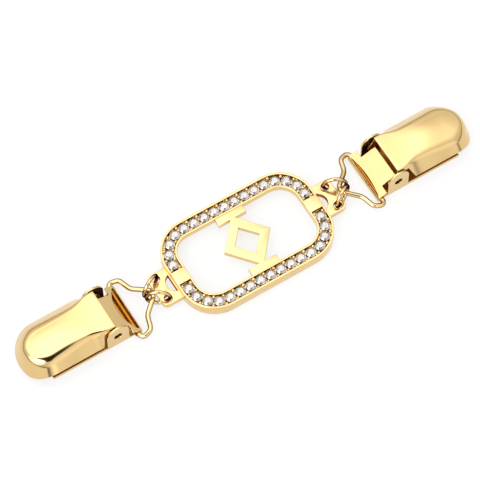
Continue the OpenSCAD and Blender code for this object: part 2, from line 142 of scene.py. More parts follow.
# A bail, with its bend radii and with its headings in degrees from across the clip towards the link
BAIL_L = 7.4
BAIL_TIP_Z = 2.9
BAIL_SLIP = 0.2
BAIL_BASE_HALF = 6.7
BEND_SIDE = 1.1
BEND_SHOULDER = 1.7
BEND_NECK = 3.2
BEND_TIP = 1.8
SIDE_RUN = 0.6
HEAD_SIDE = 105
HEAD_NECK = 163
HEAD_TIP = 130

# A jump ring crosses the bail's wire past its tip and aside of its middle
RING_AIM = 0.5
RING_SPREAD = 1.15

# Places that follow from these sizes and from the frame's joints
RIM_Z = LINK_LIFT + LINK_H
RIM_OUT = CHANNEL_W / 2 + OUTER_RIM_T
RIM_IN = CHANNEL_W / 2 + INNER_RIM_T
LINK_END = LINK_HALF_L + RIM_OUT
LUG_END = LINK_END + LUG_L
LUG_Z = (LINK_LIFT + LUG_RISE, LINK_LIFT + LUG_RISE + LUG_T)
WINDOW_X = LINK_END + WINDOW_BEYOND_RIM
HOLE_X = LUG_END - HOLE_EDGE
HOLE_Y = HOLE_PITCH / 2
BASE_X, SIDE_PLAY, BASE_Z = PIVOTS["clip_swing_right"]
TIP_X = BASE_X - BAIL_L

# Half of the channel's centre line: up the right end, round a corner, along the top and down the left end
UP = LINK_HALF_W - LINK_CORNER
BEND = math.pi * LINK_CORNER / 2
ALONG = 2 * (LINK_HALF_L - LINK_CORNER)
HALF_RUN = 2 * UP + 2 * BEND + ALONG

# The finishes of a pressing, in the order of its slots: plate, painted inside shade, darker painted shade
SHEET, PAINTED_INSIDE_SHADE, PAINTED_DARK_SHADE = range(3)


def linear(hex_colour):
    """An sRGB hex value as linear red, green, blue and alpha."""
    parts = [int(hex_colour[k : k + 2], 16) / 255 for k in (0, 2, 4)]
    return tuple(c / 12.92 if c <= 0.04045 else ((c + 0.055) / 1.055) ** 2.4 for c in parts) + (1.0,)


def length(name, description, mm):
    return FloatProperty(
        name=name, description=description, default=mm * MM, min=0.0, unit="LENGTH", precision=5
    )


def angle(name, description, degrees):
    return FloatProperty(
        name=name, description=description, default=math.radians(degrees), subtype="ANGLE"
    )


def colour(name, description, hex_colour):
    return FloatVectorProperty(
        name=name, description=description, default=linear(hex_colour),
        size=4, subtype="COLOR", min=0, max=1,
    )


class SweaterClipSizes(bpy.types.PropertyGroup):
    """Sizes of the pieces that this scene draws itself"""

    rim_round: length("Rim rounding", "Radius along the edges of the cast link", 0.13)
    sheet_round: length("Sheet rounding", "Radius along the cut edges of the pressed sheet", 0.09)
    bail_wire: length("Bail wire", "Diameter of the bent wire", 1.15)
    ring_wire: length("Ring wire", "Diameter of the jump rings' wire", 0.85)
    ring: length("Ring", "Diameter of a jump ring along the middle of its wire", 5.4)
    grain: length("Grain", "Diameter of the gold grains that hold the stones", 0.84)
    wire_facets: IntProperty(
        name="Wire facets", description="Sides of a wire's section", default=20, min=6
    )
    grain_seed: IntProperty(
        name="Grain seed", description="Seed for the grains' uneven sizes", default=7
    )


class SweaterClipFinishes(bpy.types.PropertyGroup):
    """Colours of the finishes"""

    casting: colour("Casting", "Gold plate on the zinc casting", "E5C790")
    wire: colour("Wire", "Gold plate on the steel wire", "E8CB94")
    sheet: colour("Sheet", "Gold plate on the pressed steel", "E3C48B")
    tarnish: colour("Thin plate", "Where the plate is thinner and warmer", "DFB676")
    # Painted shade: the brown that the wire's colour and grazing reflections turn to towards its outline
    edge: colour("Wire edge", "The brown that a wire shows along its outline", "6B3D10")
    # Painted shade: the darker gold of the covers' inner skin and of the floor inside the clip bodies
    lining: colour("Lining", "Unpolished plate on the inside of the pressings", "BC8638")
    # Painted shade: deep orange for the hollows, on the bail's base in the eye and the lugs' opening walls
    recess_painted_shade: colour("Recess", "Worn plate on the wire in the eye and in the lugs' openings", "C27C26")
    # Painted shade: near black in the studs' bores, round the pins, and on the clip bodies' ears' inner sides
    bore: colour("Bore", "Bare dark steel inside the hollow studs", "2E1A0C")
    crystal: colour("Crystal", "Clear cut stone", "FCFDFF")
    foil: colour("Foil", "Mirror backing of the stones", "EAE3DD")
    # Painted shade and highlight: each facet takes a random tone between this and the foil colour
    facet: colour("Dark facet", "The darkest facets, which look away from the light", "6E6A68")


class SweaterClipStudio(bpy.types.PropertyGroup):
    """Camera, floor and light"""

    azimuth: angle("Azimuth", "Camera's turn round the clip", -31.6)
    elevation: angle("Elevation", "Camera's height above the table", 63.13)
    distance: length("Distance", "From the camera to the middle of the link", 644)
    lens: FloatProperty(name="Lens", description="Focal length", default=209.1, min=1, unit="CAMERA")
    dome: FloatProperty(
        name="Dome", description="Brightness of the white tent overhead", default=2.2, min=0
    )
    floor: colour("Floor", "Pale paper that the clip lies on", "FDFDFC")


def add(tree, kind, links=(), **settings):
    """Adds a node. A setting's name is a property of the node, or a socket as in_NAME or in_NUMBER."""
    node = tree.nodes.new(kind)
    for key, value in settings.items():
        if key.startswith("in_"):
            socket = key[3:]
            socket = int(socket) if socket.isdigit() else socket.replace("_", " ")
            node.inputs[socket].default_value = value
        else:
            setattr(node, key, value)
    for source, socket in links:
        tree.links.new(source, node.inputs[socket])
    return node


def blank_material(name):
    material = bpy.data.materials.new(name)
    material.use_nodes = True
    material.node_tree.nodes.clear()
    return material, material.node_tree


def plated(name, main, thin, edge, rough, ripple, grit):
    """Gold plate over metal: the mop leaves a slow ripple, the bath a fine grit and warmer thin spots.

    The ripple and the grit are each a spacing and a depth in millimetres.
    """
    material, tree = blank_material(name)
    place = add(tree, "ShaderNodeTexCoord").outputs["Object"]
    slow, fine = (
        add(tree, "ShaderNodeTexNoise", [(place, "Vector")], in_Scale=1 / (spacing * MM), in_Detail=detail)
        for spacing, detail in ((ripple[0], 2.0), (grit[0], 3.0))
    )
    spots = add(
        tree, "ShaderNodeMapRange", [(slow.outputs["Fac"], "Value")],
        in_From_Min=0.35, in_From_Max=0.75, in_To_Min=0.0, in_To_Max=0.4,
    )
    tint = add(
        tree, "ShaderNodeMix", [(spots.outputs["Result"], "Factor")],
        data_type="RGBA", in_6=main, in_7=thin,
    )
    if edge:
        # Painted shade: towards its outline thin wire turns to the edge brown, a brown line on either side
        slant = add(tree, "ShaderNodeLayerWeight", in_Blend=0.5)
        brown = add(
            tree, "ShaderNodeMapRange", [(slant.outputs["Facing"], "Value")],
            interpolation_type="SMOOTHSTEP", in_From_Min=0.25, in_From_Max=0.62, in_To_Max=1.0,
        )
        tint = add(
            tree, "ShaderNodeMix", [(brown.outputs["Result"], "Factor"), (tint.outputs[2], 6)],
            data_type="RGBA", in_7=edge,
        )
    polish = add(
        tree, "ShaderNodeMapRange", [(fine.outputs["Fac"], "Value")],
        in_From_Min=0.3, in_From_Max=0.7, in_To_Min=rough * 0.8, in_To_Max=rough * 1.3,
    )
    wavy = add(
        tree, "ShaderNodeBump", [(slow.outputs["Fac"], "Height")],
        in_Strength=1.0, in_Distance=ripple[1] * MM,
    )
    gritty = add(
        tree, "ShaderNodeBump", [(fine.outputs["Fac"], "Height"), (wavy.outputs["Normal"], "Normal")],
        in_Strength=1.0, in_Distance=grit[1] * MM,
    )
    # An edge colour also tints the metal's grazing reflections: painted shade along the outline
    surface = add(
        tree, "ShaderNodeBsdfPrincipled",
        [
            (tint.outputs[2], "Base Color"),
            (polish.outputs["Result"], "Roughness"),
            (gritty.outputs["Normal"], "Normal"),
        ],
        in_Metallic=1.0, in_Specular_Tint=edge or (1, 1, 1, 1),
    )
    add(tree, "ShaderNodeOutputMaterial", [(surface.outputs["BSDF"], "Surface")])
    return material


def mirror_backed_crystal(look):
    """Machine-cut crystal: a clear crown over a foil mirror, with a painted light or dark tone on each facet.
    """
    girdle_share = 0.7
    low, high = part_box("stone_01")
    girdle_z = lerp(low.z, high.z, girdle_share)
    material, tree = blank_material("Foil backed crystal")
    place = add(tree, "ShaderNodeTexCoord").outputs["Object"]
    facing = add(tree, "ShaderNodeNewGeometry").outputs["True Normal"]
    height = add(tree, "ShaderNodeSeparateXYZ", [(place, "Vector")])
    back = add(
        tree, "ShaderNodeMath", [(height.outputs["Z"], 0)], operation="LESS_THAN", in_1=girdle_z
    )
    haze = add(
        tree, "ShaderNodeTexNoise", [(place, "Vector")], in_Scale=1 / (0.5 * MM), in_Detail=1.0
    )
    smear = add(
        tree, "ShaderNodeMapRange", [(haze.outputs["Fac"], "Value")], in_To_Min=0.0, in_To_Max=0.06
    )
    # White noise on the facet's direction gives each facet one painted tone, from shade to highlight
    spread = add(tree, "ShaderNodeVectorMath", [(facing, 0)], operation="SCALE", in_Scale=9.0)
    flash = add(tree, "ShaderNodeTexWhiteNoise", [(spread.outputs["Vector"], "Vector")])
    lit = add(
        tree, "ShaderNodeMapRange", [(flash.outputs["Value"], "Value")],
        in_From_Min=0.05, in_From_Max=0.35,
    )
    tone = add(
        tree, "ShaderNodeMix", [(lit.outputs["Result"], "Factor")],
        data_type="RGBA", in_6=look.facet, in_7=look.foil,
    )
    clear = add(
        tree, "ShaderNodeBsdfPrincipled", [(smear.outputs["Result"], "Roughness")],
        in_Base_Color=look.crystal, in_IOR=1.55, in_Transmission_Weight=1.0,
    )
    bright = add(
        tree, "ShaderNodeBsdfPrincipled", [(tone.outputs[2], "Base Color")],
        in_Roughness=0.12, in_Metallic=0.8, in_IOR=1.55,
    )
    crown = add(
        tree, "ShaderNodeMixShader", [(clear.outputs["BSDF"], 1), (bright.outputs["BSDF"], 2)], in_0=0.48
    )
    both = add(
        tree, "ShaderNodeMixShader",
        [(back.outputs["Value"], 0), (crown.outputs["Shader"], 1), (bright.outputs["BSDF"], 2)],
    )
    add(tree, "ShaderNodeOutputMaterial", [(both.outputs["Shader"], "Surface")])
    return material


# The metal finishes. Each has its material's name, the colours of its face, its thin spots and its painted
# outline shade, its roughness, and the spacing and depth of its ripple and of its grit in millimetres
METALS = {
    # Tumbled and mopped: a bright mirror that the casting's skin breaks up a little
    "casting": (
        "Gold plated zinc casting", ("casting", "tarnish", None), 0.13, (2.4, 0.006), (0.35, 0.0012),
    ),
    # Drawn smooth: one clean highlight along each bend, with a painted brown shade line on either side
    "wire": ("Gold plated steel wire", ("wire", "tarnish", "edge"), 0.1, (1.5, 0.003), (0.3, 0.0008)),
    # Rolled flat before pressing: long, even reflections
    "sheet": ("Gold plated pressed steel", ("sheet", "tarnish", None), 0.09, (6.0, 0.008), (0.4, 0.0006)),
    # Satin, with a deep orange painted in as the shade of the hollows that it is put in
    "recess_painted_shade": ("Gold plate with painted hollow shade", ("recess_painted_shade", "recess_painted_shade", "recess_painted_shade"), 0.38, (4.0, 0.004), (0.3, 0.0005)),
    # Satin where the mop can't reach, so the inside takes up light softly instead of mirroring it,
    # and painted a darker gold as the shade inside the pressings
    "lining": ("Gold plate with painted inside shade", ("lining", "tarnish", None), 0.36, (4.0, 0.004), (0.3, 0.0005)),
    # Painted near-black shade for the bores and the ears' inner sides, which sets off the pin in each pivot
    "bore": ("Painted dark shade", ("bore", "bore", None), 0.5, (4.0, 0.002), (0.3, 0.0005)),
}
FINISHES = {}


def finish(key):
    """The finish with this key, made when it is first asked for."""
    if key not in FINISHES:
        look = bpy.context.scene.sweater_clip_finishes
        if key == "crystal":
            FINISHES[key] = mirror_backed_crystal(look)
        else:
            name, colours, rough, ripple, grit = METALS[key]
            main, thin, edge = (getattr(look, c) if c else None for c in colours)
            FINISHES[key] = plated(name, main, thin, edge, rough, ripple, grit)
    return FINISHES[key]


def new_object(name, mesh, *finishes):
    """An object at the origin. The finishes with these keys fill its mesh's slots, in order."""
    for key in finishes:
        mesh.materials.append(finish(key))
    piece = bpy.data.objects.new(name, mesh)
    bpy.context.scene.collection.objects.link(piece)
    return piece


def mesh_from(shape, name):
    """A new mesh from a bmesh, which is freed."""
    mesh = bpy.data.meshes.new(name)
    shape.to_mesh(mesh)
    shape.free()
    return mesh


def evaluated_mesh(piece):
    """The shape of a piece with its modifiers, as a mesh of its own."""
    bpy.context.view_layer.update()
    graph = bpy.context.evaluated_depsgraph_get()
    return bpy.data.meshes.new_from_object(
        piece.evaluated_get(graph), preserve_all_data_layers=True, depsgraph=graph
    )


def baked(piece):
    """Puts the evaluated shape into the piece's own mesh and takes its modifiers off."""
    mesh = evaluated_mesh(piece)
    piece.modifiers.clear()
    piece.data = mesh
    return piece


def rounded(piece, radius, sharp_degrees=None):
    """Rounds the edges that are sharper than an angle, or else those marked, and evens the normals."""
    bevel = piece.modifiers.new("Rounded edges", "BEVEL")
    bevel.width = radius
    bevel.segments = 3
    if sharp_degrees:
        bevel.limit_method = "ANGLE"
        bevel.angle_limit = math.radians(sharp_degrees)
    else:
        bevel.limit_method = "WEIGHT"
        bevel.use_clamp_overlap = False
    piece.data.shade_smooth()
    even = piece.modifiers.new("Even normals", "WEIGHTED_NORMAL")
    even.weight = 50
    even.keep_sharp = True
    return baked(piece)


def merged_copy(node, to_be_rounded, sharp_degrees=35):
    """A copy of a CAD node's mesh with its flat faces whole, and its sharp edges marked for rounding."""
    shape = bmesh.new()
    shape.from_mesh(frame["nodes"][node].data)
    bmesh.ops.remove_doubles(shape, verts=shape.verts, dist=0.002 * MM)
    bmesh.ops.dissolve_limit(
        shape, angle_limit=math.radians(0.6), verts=shape.verts, edges=shape.edges,
        use_dissolve_boundaries=False,
    )
    shape.normal_update()
    weight = shape.edges.layers.float.new("bevel_weight_edge")
    for edge in shape.edges:
        middle = (edge.verts[0].co + edge.verts[1].co) / 2 / MM
        sharp = len(edge.link_faces) == 2 and edge.calc_face_angle(0) > math.radians(sharp_degrees)
        edge[weight] = 1.0 if sharp and to_be_rounded(middle) else 0.0
    mesh = mesh_from(shape, node)
    # The loose triangles' own normals don't suit the whole faces
    if "custom_normal" in mesh.attributes:
        mesh.attributes.remove(mesh.attributes["custom_normal"])
    return mesh


def hand_over(piece, body, slot, *nodes):
    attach(piece, body)
    if nodes:
        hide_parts(*nodes)


def out_from_base(side, point):
    """A place in a clip, measured outwards from its bail's base in millimetres, as a place in metres."""
    u, y, z = point
    return Vector((side * (BASE_X + u), y + SIDE_PLAY, z)) * MM


def strip(shape, a, b, slot=0, closed=False):
    """Adds the faces between two rows of points to a bmesh. Rows that meet in a point end in a triangle."""
    for j in range(len(a) if closed else len(a) - 1):
        k = (j + 1) % len(a)
        corners = dict.fromkeys((a[j], a[k], b[k], b[j]))
        shape.faces.new(tuple(corners)).material_index = slot


def loop_mesh(name, loop):
    """A closed path of points as edges only."""
    mesh = bpy.data.meshes.new(name)
    mesh.from_pydata(loop, [(k, (k + 1) % len(loop)) for k in range(len(loop))], [])
    return mesh


def tree_with_sockets(name, numbers):
    """An empty node tree for a modifier, with its geometry, material and number inputs."""
    tree = bpy.data.node_groups.new(name, "GeometryNodeTree")
    tree.interface.new_socket("Geometry", in_out="INPUT", socket_type="NodeSocketGeometry")
    tree.interface.new_socket("Geometry", in_out="OUTPUT", socket_type="NodeSocketGeometry")
    tree.interface.new_socket("Finish", in_out="INPUT", socket_type="NodeSocketMaterial")
    for label, kind in numbers:
        tree.interface.new_socket(label, in_out="INPUT", socket_type=kind)
    return tree, add(tree, "NodeGroupInput")


def close_tree(tree, given, geometry):
    """Ends a tree: smooth faces, real geometry and the finish."""
    smooth = add(tree, "GeometryNodeSetShadeSmooth", [(geometry, "Geometry")])
    real = add(tree, "GeometryNodeRealizeInstances", [(smooth.outputs["Geometry"], "Geometry")])
    dressed = add(
        tree, "GeometryNodeSetMaterial",
        [(real.outputs["Geometry"], "Geometry"), (given.outputs["Finish"], "Material")],
    )
    add(tree, "NodeGroupOutput", [(dressed.outputs["Geometry"], "Geometry")])
    return tree


def half_of(tree, diameter):
    return add(tree, "ShaderNodeMath", [(diameter, 0)], operation="MULTIPLY", in_1=0.5).outputs["Value"]


def wire_tree():
    """Draws round wire along the edge path that it is given."""
    tree, given = tree_with_sockets(
        "Wire along a path", [("Wire diameter", "NodeSocketFloat"), ("Facets", "NodeSocketInt")]
    )
    path = add(tree, "GeometryNodeMeshToCurve", [(given.outputs["Geometry"], "Mesh")])
    radius = half_of(tree, given.outputs["Wire diameter"])
    section = add(
        tree, "GeometryNodeCurvePrimitiveCircle",
        [(radius, "Radius"), (given.outputs["Facets"], "Resolution")],
    )
    wire = add(
        tree, "GeometryNodeCurveToMesh",
        [(path.outputs["Curve"], "Curve"), (section.outputs["Curve"], "Profile Curve")],
    )
    return close_tree(tree, given, wire.outputs["Mesh"])


def grain_tree():
    """Sets a slightly uneven ball on every point that it is given."""
    tree, given = tree_with_sockets(
        "Grains on points", [("Grain diameter", "NodeSocketFloat"), ("Seed", "NodeSocketInt")]
    )
    radius = half_of(tree, given.outputs["Grain diameter"])
    ball = add(tree, "GeometryNodeMeshIcoSphere", [(radius, "Radius")], in_Subdivisions=3)
    uneven = add(
        tree, "FunctionNodeRandomValue", [(given.outputs["Seed"], "Seed")],
        data_type="FLOAT", in_2=0.82, in_3=1.1,
    )
    sites = add(tree, "GeometryNodeMeshToPoints", [(given.outputs["Geometry"], "Mesh")])
    balls = add(
        tree, "GeometryNodeInstanceOnPoints",
        [
            (sites.outputs["Points"], "Points"),
            (ball.outputs["Mesh"], "Instance"),
            (uneven.outputs[1], "Scale"),
        ],
    )
    return close_tree(tree, given, balls.outputs["Instances"])


def run_tree(piece, tree, values, *finishes):
    """Runs a node tree on a piece with its named inputs set, and keeps the plain mesh in its finishes."""
    given = {**values, "Finish": finish(finishes[0])}
    modifier = piece.modifiers.new(tree.name, "NODES")
    modifier.node_group = tree
    for item in tree.interface.items_tree:
        if item.in_out == "INPUT" and item.name in given:
            modifier[item.identifier] = given[item.name]
    baked(piece)
    # The tree leaves an empty slot before its finish, so the slots are filled anew
    piece.data.materials.clear()
    for key in finishes:
        piece.data.materials.append(finish(key))
    return piece


def row_place(s):
    """A point on the channel's centre line and its outward direction, s millimetres from the right end."""
    a, b, r = LINK_HALF_L, LINK_HALF_W, LINK_CORNER
    if s < UP:
        return (a, s), (1, 0)
    s -= UP
    if s < BEND:
        t = s / r
        return (a - r + r * math.cos(t), b - r + r * math.sin(t)), (math.cos(t), math.sin(t))
    s -= BEND
    if s < ALONG:
        return (a - r - s, b), (0, 1)
    s -= ALONG
    if s < BEND:
        t = math.pi / 2 + s / r
        return (-a + r + r * math.cos(t), b - r + r * math.sin(t)), (math.cos(t), math.sin(t))
    return (-a, b - r - (s - BEND)), (-1, 0)


def grain_sites(grain_d):
    """Places for the grains: beside both walls of the channel, between each stone and the next."""
    sink, into_wall, beyond_end_stone = 0.46, 0.06, 0.42
    low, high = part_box("stone_01")
    # The first stone stands on the straight end, where the way along the channel is its y, in whole hundredths
    first = math.floor(100 * (low.y + high.y) / 2 / MM) / 100
    pitch = (HALF_RUN - 2 * first) / (ROW_STONES - 1)
    aside = CHANNEL_W / 2 - grain_d / 2 / MM + into_wall
    z = (RIM_Z - sink) * MM
    ways = [first + (k + 0.5) * pitch for k in range(ROW_STONES - 1)]
    end = first - beyond_end_stone * pitch
    sites = []
    for s in (end, *ways, HALF_RUN - end):
        (x, y), (nx, ny) = row_place(s)
        for wall in (-aside, aside):
            px, py = (x + wall * nx) * MM, (y + wall * ny) * MM
            sites += [(px, py, z), (px, -py, z)]
    return sites


def stretch(size, start, end, share=1):
    """The move along a share of a straight length, or of a bend of a radius, from heading to heading."""
    a = math.radians(start)
    if start == end:
        return Vector((math.sin(a), math.cos(a))) * size * share
    b = a + math.radians(end - start) * share
    return Vector((math.cos(a) - math.cos(b), math.sin(b) - math.sin(a))) * math.copysign(size, b - a)


def bail_rows(neck_run, tip_run):
    """Half a bail from its middle, row by row: a length or a bend's radius, and its two headings."""
    return (
        (BAIL_BASE_HALF, 0, 0),
        (BEND_SIDE, 0, HEAD_SIDE),
        (SIDE_RUN, HEAD_SIDE, HEAD_SIDE),
        (BEND_SHOULDER, HEAD_SIDE, HEAD_NECK),
        (neck_run, HEAD_NECK, HEAD_NECK),
        (BEND_NECK, HEAD_NECK, HEAD_TIP),
        (tip_run, HEAD_TIP, HEAD_TIP),
        (BEND_TIP, HEAD_TIP, 180),
    )


def bail_path(run):
    """Half of the bail's centre line in its own plane, as (towards the link, across) in millimetres."""
    line_step, bend_degrees = 0.5, 5
    # The two straight runs take up what the bends leave to go
    to_go = Vector((run, 0)) - sum((stretch(*row) for row in bail_rows(0, 0)), Vector((0, 0)))
    neck, tip = math.radians(HEAD_NECK), math.radians(HEAD_TIP)
    neck_run = (to_go.x * math.cos(tip) - to_go.y * math.sin(tip)) / math.sin(neck - tip)
    tip_run = (to_go.y * math.sin(neck) - to_go.x * math.cos(neck)) / math.sin(neck - tip)
    points = [Vector((0, 0))]
    for size, start, end in bail_rows(neck_run, tip_run):
        here = points[-1]
        steps = max(4, round(abs(end - start) / bend_degrees))
        if start == end:
            steps = max(1, round(size / line_step))
        points += [here + stretch(size, start, end, k / steps) for k in range(1, steps + 1)]
    return points


def bail_loop(side):
    """The bail's whole centre line, tilted up from its clip's eye to its tip."""
    tilt = math.asin((BAIL_TIP_Z - BASE_Z) / BAIL_L)
    half = bail_path(BAIL_L / math.cos(tilt))
    whole = half + [Vector((p.x, -p.y)) for p in reversed(half[1:-1])]
    return [
        out_from_base(side, (-p.x * math.cos(tilt), p.y - BAIL_SLIP, BASE_Z + p.x * math.sin(tilt)))
        for p in whole
    ]


def ring_loop(side, way, ring_d, wire_d):
    """Centre line of a jump ring that stands in its hole and leans towards the bail's tip."""
    r, steps = ring_d / 2, 48
    centre_z = wire_d / 2 + r
    reach = sum(math.sqrt(r**2 - (centre_z - z) ** 2) for z in LUG_Z) / 2
    hole = Vector((side * HOLE_X, way * HOLE_Y))
    aim = Vector((side * (TIP_X + RING_AIM), SIDE_PLAY - BAIL_SLIP + way * RING_SPREAD))
    heading = (aim - hole).normalized()
    centre = hole + reach * heading
    loop = []
    for k in range(steps):
        t = 2 * math.pi * k / steps
        flat = centre + r * math.cos(t) * heading
        loop.append(Vector((flat.x, flat.y, centre_z + r * math.sin(t))) * MM)
    return loop


def rounded_corners(corners, steps=4):
    """A closed outline with each corner, given as (x, y, radius), turned into an arc."""
    points = []
    for k, (x, y, radius) in enumerate(corners):
        here = Vector((x, y))
        if radius == 0:
            points.append(here)
            continue
        before = (Vector(corners[k - 1][:2]) - here).normalized()
        after = (Vector(corners[(k + 1) % len(corners)][:2]) - here).normalized()
        half = before.angle(after) / 2
        reach = radius / math.tan(half)
        centre = here + (before + after).normalized() * (radius / math.sin(half))
        first, last = here + before * reach - centre, here + after * reach - centre
        sweep = first.angle_signed(last)
        for j in range(steps + 1):
            turn = -sweep * j / steps
            c, n = math.cos(turn), math.sin(turn)
            points.append(centre + Vector((first.x * c - first.y * n, first.x * n + first.y * c)))
    return points


def circle(x, y, radius, steps=40):
    """Outline of a round hole."""
    turns = [2 * math.pi * k / steps for k in range(steps)]
    return [(x + radius * math.cos(t), y + radius * math.sin(t)) for t in turns]


def rim_band(radius):
    """The band swept round the link: two rims with the stones' channel between, and a deep outer skirt."""
    wall, skirt = CHANNEL_W / 2, RIM_OUT - SKIRT_T
    floor_z, deck_z = RIM_Z - CHANNEL_D, RIM_Z - DECK_H
    profile = rounded_corners([
        (RIM_OUT, LINK_LIFT, radius), (RIM_OUT, RIM_Z, radius), (wall, RIM_Z, radius), (wall, floor_z, 0),
        (-wall, floor_z, 0), (-wall, RIM_Z, radius), (-RIM_IN, RIM_Z, radius), (-RIM_IN, deck_z, radius),
        (skirt, deck_z, 0), (skirt, LINK_LIFT, radius),
    ])
    bend_steps, along_steps, end_marks = 28, 12, [0.0, 1.0, 2.0]
    bend = [BEND * k / bend_steps for k in range(bend_steps + 1)]
    marks = end_marks + [UP + s for s in bend]
    marks += [UP + BEND + ALONG * k / along_steps for k in range(1, along_steps)]
    marks += [UP + BEND + ALONG + s for s in bend] + [HALF_RUN - s for s in reversed(end_marks)]
    half = [row_place(s) for s in marks]
    whole = half + [((x, -y), (nx, -ny)) for (x, y), (nx, ny) in reversed(half[1:-1])]
    shape = bmesh.new()
    rows = [
        [shape.verts.new(((x + nx * p.x) * MM, (y + ny * p.x) * MM, p.y * MM)) for p in profile]
        for (x, y), (nx, ny) in whole
    ]
    for a, b in zip(rows, rows[1:] + rows[:1]):
        strip(shape, a, b, closed=True)
    return mesh_from(shape, "rim_band")


def plate(outlines, low, high, radius):
    """A flat plate with rounded edges, from its outline and those of its holes, in millimetres."""
    curve = bpy.data.curves.new("outline", "CURVE")
    curve.dimensions = "2D"
    curve.fill_mode = "BOTH"
    curve.extrude = ((high - low) / 2 - radius) * MM
    curve.bevel_depth = radius * MM
    curve.bevel_resolution = 3
    curve.offset = -radius * MM
    for outline in outlines:
        spline = curve.splines.new("POLY")
        spline.points.add(len(outline) - 1)
        for point, (x, y) in zip(spline.points, outline):
            point.co = (x * MM, y * MM, 0, 1)
        spline.use_cyclic_u = True
    holder = new_object("outline", curve)
    flat = evaluated_mesh(holder)
    bpy.data.objects.remove(holder)
    shape = bmesh.new()
    shape.from_mesh(flat)
    bpy.data.meshes.remove(flat)
    bmesh.ops.remove_doubles(shape, verts=shape.verts, dist=0.001 * MM)
    bmesh.ops.translate(shape, verts=shape.verts, vec=(0, 0, (high + low) / 2 * MM))
    return mesh_from(shape, "plate")


def lug_plate(side, radius):
    """A lug with its D-shaped window and two ring holes."""
    join, window_steps = 0.1, 24
    start, half = LINK_HALF_L + CHANNEL_W / 2 + join, LUG_W / 2
    outline = rounded_corners(
        [(start, -half, 0), (LUG_END, -half, LUG_CORNER), (LUG_END, half, LUG_CORNER), (start, half, 0)], 10
    )
    bow_r = ((WINDOW_W / 2) ** 2 + WINDOW_L**2) / (2 * WINDOW_L)
    spread = math.asin(WINDOW_W / 2 / bow_r)
    bow = [spread * (2 * k / window_steps - 1) for k in range(window_steps + 1)]
    centre_x = WINDOW_X + WINDOW_L - bow_r
    window = [(centre_x + bow_r * math.cos(t), bow_r * math.sin(t)) for t in bow]
    holes = [circle(HOLE_X, way * HOLE_Y, HOLE_D / 2) for way in (-1, 1)]
    return plate([[(side * x, y) for x, y in line] for line in (outline, window, *holes)], *LUG_Z, radius)


def end_bar(side, radius):
    """The plain bar that crosses the channel at an end, a hair proud of the rims."""
    depth, proud, inset, finer_edge = 1.2, 0.03, 0.06, 0.7
    half = BAR_W / 2
    x0, x1 = side * (LINK_HALF_L - RIM_IN + inset), side * (LINK_END - inset)
    outline = [(x0, -half), (x1, -half), (x1, half), (x0, half)]
    return plate([outline], RIM_Z - depth, RIM_Z + proud, radius * finer_edge)


def ornament_plate(radius):
    """The open lozenge and its two feet as one plate."""
    join, tip_in_foot = 0.2, 0.35
    inside = LINK_HALF_W - RIM_IN
    foot_y = inside - FOOT_W
    half_x, half_y = LOZENGE_L / 2, foot_y + STROKE_W * tip_in_foot
    edge = math.hypot(half_x, half_y)
    in_x, in_y = half_x - STROKE_W * edge / half_y, half_y - STROKE_W * edge / half_x
    meet = half_x * (1 - foot_y / half_y)
    wide, far = FOOT_L / 2, inside + join
    right = [
        (wide, -far), (wide, -foot_y), (meet, -foot_y), (half_x, 0),
        (meet, foot_y), (wide, foot_y), (wide, far),
    ]
    outline = right + [(-x, y) for x, y in reversed(right)]
    hole = [(in_x, 0), (0, in_y), (-in_x, 0), (0, -in_y)]
    top = RIM_Z - ORNAMENT_SINK
    return plate([outline, hole], top - ORNAMENT_T, top, radius)


def lerp(a, b, t):
    return a + (b - a) * t


def ease(t):
    k = min(max(t, 0.0), 1.0)
    return k * k * (3 - 2 * k)


